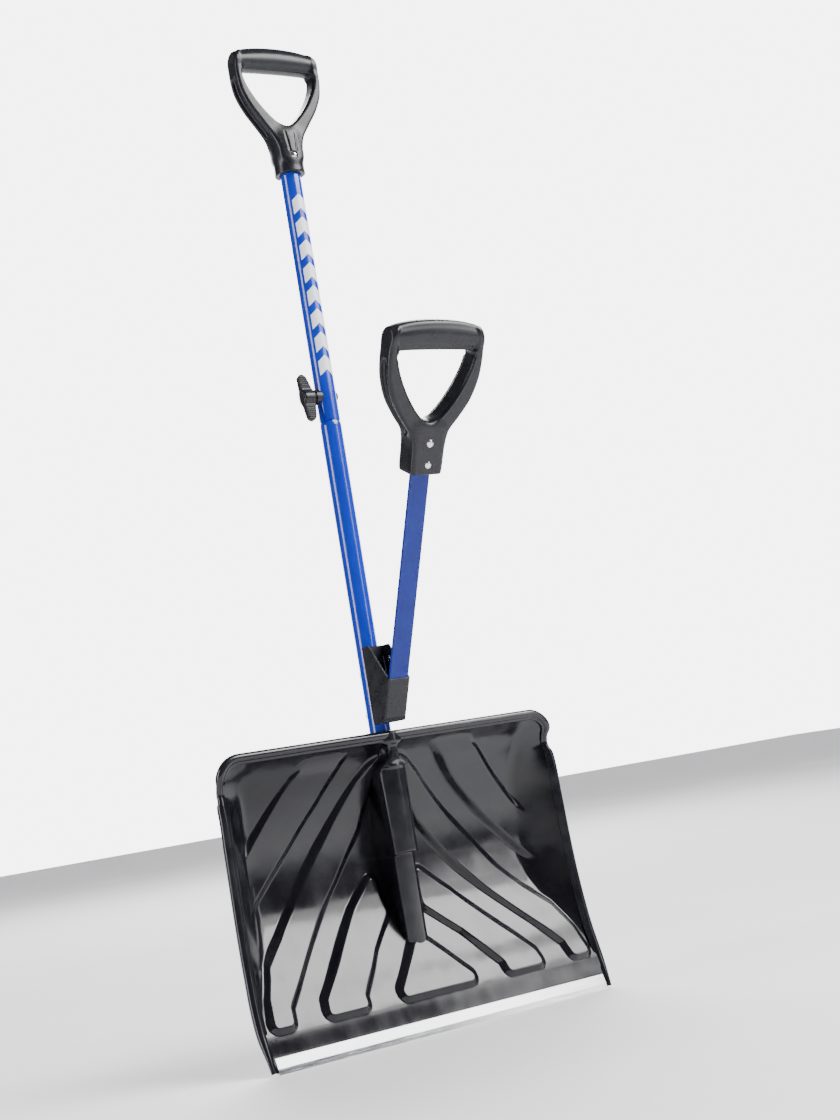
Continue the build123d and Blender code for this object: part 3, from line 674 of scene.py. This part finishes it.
class Finish:
    """A procedural material, built from noise in the object's own coordinates."""

    def __init__(self, name, colour, metallic=0.0, coat=0.0, level=0.5):
        self.made = bpy.data.materials.new(name)
        self.made.use_nodes = True
        self.tree = self.made.node_tree
        self.shader = self.tree.nodes["Principled BSDF"]
        self.shader.inputs["Metallic"].default_value = metallic
        self.shader.inputs["Coat Weight"].default_value = coat
        self.shader.inputs["Coat Roughness"].default_value = 0.08
        self.shader.inputs["Specular IOR Level"].default_value = level
        self.shader.inputs["Base Color"].default_value = (*colour, 1)
        self.place = self.node("ShaderNodeTexCoord").outputs["Object"]
        self.last_bump = None

    def node(self, kind, **settings):
        made = self.tree.nodes.new(kind)
        for key, value in settings.items():
            setattr(made, key, value)
        return made

    def link(self, source, target):
        self.tree.links.new(source, target)

    def noise(self, scale, detail=3.0, stretch=(1, 1, 1)):
        """Noise from 0 to 1, scale in features per metre."""
        size = self.node("ShaderNodeMapping")
        size.inputs["Scale"].default_value = stretch
        made = self.node("ShaderNodeTexNoise")
        made.inputs["Scale"].default_value = scale
        made.inputs["Detail"].default_value = detail
        self.link(self.place, size.inputs["Vector"])
        self.link(size.outputs["Vector"], made.inputs["Vector"])
        return made.outputs["Fac"]

    def spread(self, source, low, high, start=0.3, end=0.7):
        made = self.node("ShaderNodeMapRange")
        for key, value in zip(("From Min", "From Max", "To Min", "To Max"), (start, end, low, high)):
            made.inputs[key].default_value = value
        self.link(source, made.inputs["Value"])
        return made.outputs["Result"]

    def maths(self, how, a, b=0.0):
        made = self.node("ShaderNodeMath", operation=how)
        for socket, value in zip(made.inputs, (a, b)):
            if isinstance(value, (int, float)):
                socket.default_value = value
            else:
                self.link(value, socket)
        return made.outputs[0]

    def mix(self, share, low, high):
        made = self.node("ShaderNodeMix", data_type="RGBA")
        self.link(share, made.inputs["Factor"])
        for socket, value in ((made.inputs[6], low), (made.inputs[7], high)):
            if isinstance(value, tuple):
                socket.default_value = (*value, 1)
            else:
                self.link(value, socket)
        return made.outputs[2]

    def colour(self, source):
        self.link(source, self.shader.inputs["Base Color"])

    def roughness(self, source):
        self.link(source, self.shader.inputs["Roughness"])

    def bump(self, source, depth, strength=1.0):
        """Add relief of a depth in metres on top of what is there."""
        made = self.node("ShaderNodeBump")
        made.inputs["Strength"].default_value = strength
        made.inputs["Distance"].default_value = depth
        self.link(source, made.inputs["Height"])
        if self.last_bump is not None:
            self.link(self.last_bump, made.inputs["Normal"])
        self.last_bump = made.outputs["Normal"]
        self.link(self.last_bump, self.shader.inputs["Normal"])


def moulded_gloss():
    """The scoop's glossy plastic, with faint flow marks and rubbed patches."""
    f = Finish("moulded_gloss_black", (0.006, 0.006, 0.009), level=0.52)
    blotch = f.noise(22, 4)
    f.colour(f.mix(f.spread(blotch, 0, 1), (0.004, 0.004, 0.0065), (0.008, 0.008, 0.012)))
    rubbed = f.noise(60, 5, (1, 1, 0.35))
    worn = f.maths("ADD", f.spread(blotch, 0, 0.5), f.spread(rubbed, 0, 0.5))
    f.roughness(f.spread(worn, 0.11, 0.24, 0.1, 0.9))
    f.bump(f.noise(14, 2), 0.0022, 0.5)
    f.bump(f.noise(900, 2), 0.00003, 0.5)
    return f.made


def moulded_satin():
    """The grips' and knob's finely textured plastic."""
    f = Finish("moulded_satin_black", (0.008, 0.008, 0.011), level=0.36)
    cloud = f.noise(70, 3)
    f.colour(f.mix(f.spread(cloud, 0, 1), (0.006, 0.006, 0.009), (0.011, 0.011, 0.015)))
    f.roughness(f.spread(cloud, 0.26, 0.34))
    f.bump(f.noise(2600, 2), 0.00006, 0.6)
    return f.made


def gloss_paint(name, pattern):
    """Gloss blue powder coat with slight orange peel, and on the upper tube its white pattern."""
    f = Finish(name, (0.01, 0.06, 0.55), coat=0.6)
    cloud = f.noise(40, 3)
    blue = f.mix(f.spread(cloud, 0, 1), (0.004, 0.026, 0.36), (0.006, 0.032, 0.42))
    if pattern:
        blue = f.mix(bar_pattern(f), blue, (0.82, 0.84, 0.88))
    f.colour(blue)
    f.roughness(f.spread(f.noise(120, 2), 0.16, 0.24))
    f.bump(f.noise(300, 1), 0.00001, 0.4)
    return f.made


# The pattern's height range, and each chevron's pitch, white share, half-width and slant, in metres
BARS_FOOT, BARS_TOP = 0.803, 1.038
BAR_PITCH, BAR_SHARE, BAR_HALF_WIDTH, BAR_SLANT = 0.030, 0.62, 0.0088, 0.9


def bar_pattern(f):
    """A row of plain chevrons down the front of the upper tube: 1 where white."""
    split = f.node("ShaderNodeSeparateXYZ")
    f.link(f.place, split.inputs[0])
    x, y, z = split.outputs
    front = f.maths("LESS_THAN", y, SHAFT_Y)
    slanted = f.maths("ADD", z, f.maths("MULTIPLY", f.maths("ABSOLUTE", x), BAR_SLANT))
    phase = f.maths("FRACT", f.maths("DIVIDE", slanted, BAR_PITCH))
    bars = f.maths("LESS_THAN", phase, BAR_SHARE)
    width = f.maths("LESS_THAN", f.maths("ABSOLUTE", x), BAR_HALF_WIDTH)
    above = f.maths("GREATER_THAN", z, BARS_FOOT)
    below = f.maths("LESS_THAN", z, BARS_TOP)
    shown = f.maths("MULTIPLY", f.maths("MULTIPLY", bars, width), f.maths("MULTIPLY", above, below))
    return f.maths("MULTIPLY", shown, front)


def satin_paint():
    """The flat bar's satin blue powder coat."""
    f = Finish("satin_blue_paint", (0.002, 0.014, 0.2), level=0.3)
    cloud = f.noise(45, 3)
    f.colour(f.mix(f.spread(cloud, 0, 1), (0.0015, 0.0125, 0.19), (0.0025, 0.017, 0.22)))
    f.roughness(f.spread(cloud, 0.28, 0.36))
    f.bump(f.noise(1100, 2), 0.00005, 0.6)
    return f.made


def black_coat():
    """The bracket's satin black powder coat."""
    f = Finish("satin_black_coat", (0.008, 0.008, 0.011), level=0.36)
    cloud = f.noise(90, 3)
    f.colour(f.mix(f.spread(cloud, 0, 1), (0.006, 0.006, 0.009), (0.011, 0.011, 0.015)))
    f.roughness(f.spread(cloud, 0.24, 0.34))
    f.bump(f.noise(1500, 2), 0.00006, 0.6)
    return f.made


def bare_metal(name, colour, smooth, rough, stretch=(1, 1, 1), scale=500):
    """Bare or plated metal with drawn or brushed marks along one way."""
    f = Finish(name, colour, metallic=1.0)
    marks = f.noise(scale, 4, stretch)
    dim = tuple(0.82 * c for c in colour)
    f.colour(f.mix(f.spread(marks, 0, 1), dim, colour))
    f.roughness(f.spread(marks, smooth, rough))
    f.bump(marks, 0.000004, 0.4)
    return f.made


def dress(finish, *nodes):
    """Give CAD nodes a finish."""
    for node in nodes:
        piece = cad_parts[node]
        piece.data.materials.clear()
        piece.data.materials.append(finish)


# ------------------------------------------------------------------ camera, floor and light


CAMERA_PLACE = (-1.0556, -1.7618, 0.3052)
CAMERA_TURN = (-32.38, -6.81, -9.48)    # azimuth, elevation and roll in degrees
CAMERA_LENS = 55.17


def set_camera():
    data = bpy.data.cameras.new("camera")
    camera = bpy.data.objects.new("camera", data)
    bpy.context.scene.collection.objects.link(camera)
    data.lens, data.sensor_width = CAMERA_LENS, 36.0
    data.clip_start, data.clip_end = 0.05, 50.0
    azimuth, elevation, roll = (radians(a) for a in CAMERA_TURN)
    back = Vector((sin(azimuth) * cos(elevation), -cos(azimuth) * cos(elevation), sin(elevation)))
    right = (-back).cross(Vector((0, 0, 1))).normalized()
    up = right.cross(-back)
    x_axis = cos(roll) * right + sin(roll) * up
    y_axis = -sin(roll) * right + cos(roll) * up
    turn = Matrix((x_axis, y_axis, back)).transposed().to_4x4()
    camera.matrix_world = Matrix.Translation(CAMERA_PLACE) @ turn
    bpy.context.scene.camera = camera


def softbox(name, place, target, width, height, power, colour=(1, 1, 1)):
    data = bpy.data.lights.new(name, "AREA")
    data.shape, data.size, data.size_y = "RECTANGLE", width, height
    data.energy, data.color = power, colour
    light = bpy.data.objects.new(name, data)
    bpy.context.scene.collection.objects.link(light)
    light.location = place
    light.rotation_euler = (Vector(target) - Vector(place)).to_track_quat("-Z", "Y").to_euler()


FLOOR_HALF = 12.0
# Strength of the backdrop behind the object, and of the room in front
BRIGHT = 6.0
DIM = 0.14


def set_studio():
    floor_z = cad_box[0].z
    mesh = bpy.data.meshes.new("studio_floor")
    corners = [(x * FLOOR_HALF, y * FLOOR_HALF, floor_z) for x, y in ((-1, -1), (1, -1), (1, 1), (-1, 1))]
    mesh.from_pydata(corners, [], [(0, 1, 2, 3)])
    floor = bpy.data.objects.new("studio_floor", mesh)
    bpy.context.scene.collection.objects.link(floor)
    pale = Finish("studio_floor", (0.86, 0.86, 0.87))
    pale.roughness(pale.spread(pale.noise(3, 2), 0.75, 0.9))
    mesh.materials.append(pale.made)
    bpy.context.scene.world = studio_world()
    softbox("high", (1.29, -1.48, 2.36), (0, 0, 0.1), 2.0, 1.3, 140)
    softbox("middle", (1.69, -1.94, 1.64), (0, 0, 0.1), 2.0, 0.5, 18)
    softbox("low_right", (1.75, -2.25, 0.95), (0, 0, 0.5), 0.4, 1.1, 9)
    softbox("rear_floor", (1.6, 3.2, 2.6), (1.2, 2.2, 0), 2.5, 2.0, 170)
    softbox("left", (-2.6, 0.15, 1.2), (0, 0, 0.7), 0.8, 2.2, 55, (0.93, 0.92, 1.0))


def studio_world():
    """A bright paper backdrop behind the object, and a dim room in front."""
    world = bpy.data.worlds.new("studio")
    world.use_nodes = True
    tree = world.node_tree
    place = tree.nodes.new("ShaderNodeTexCoord")
    toward = tree.nodes.new("ShaderNodeVectorMath")
    toward.operation = "DOT_PRODUCT"
    toward.inputs[1].default_value = (0.53, 0.84, 0.11)
    share = tree.nodes.new("ShaderNodeMapRange")
    share.interpolation_type = "SMOOTHSTEP"
    for key, value in zip(("From Min", "From Max", "To Min", "To Max"), (0.70, 0.90, DIM, BRIGHT)):
        share.inputs[key].default_value = value
    background = tree.nodes["Background"]
    background.inputs["Color"].default_value = (0.97, 0.975, 1.0, 1)
    tree.links.new(place.outputs["Generated"], toward.inputs[0])
    tree.links.new(toward.outputs["Value"], share.inputs["Value"])
    tree.links.new(share.outputs["Result"], background.inputs["Strength"])
    return world


# ------------------------------------------------------------------ the whole

satin_black = moulded_satin()
make_scoop(moulded_gloss())
make_grips(satin_black)
make_knob(satin_black)
make_spring(bare_metal("spring_wire", (0.35, 0.35, 0.37), 0.25, 0.4))
dress(satin_black, "knob_saddle", "knob_washer")
dress(gloss_paint("gloss_blue_paint", False), "lower_shaft")
dress(gloss_paint("gloss_blue_paint_with_bars", True), "upper_shaft")
dress(satin_paint(), "assist_bar", "hinge_lug", "pivot_tube")
dress(black_coat(), "bracket", "pivot_pin")
dress(bare_metal("rolled_aluminium", (0.86, 0.87, 0.9), 0.16, 0.3, (0.05, 1, 1), 700),
      "wear_strip", "wear_strip_rivets")
dress(bare_metal("polished_steel", (0.8, 0.8, 0.82), 0.08, 0.16),
      "upper_grip_screw", "assist_grip_bolts", "spring_keeper")
dress(bare_metal("zinc_plate", (0.6, 0.61, 0.63), 0.22, 0.36), "clamp_bolt", "socket_screws",
      "bracket_bolts", "bracket_nuts", "assist_grip_nuts")
dress(bare_metal("turned_brass", (0.75, 0.6, 0.3), 0.18, 0.3), "knob_insert")
set_camera()
set_studio()
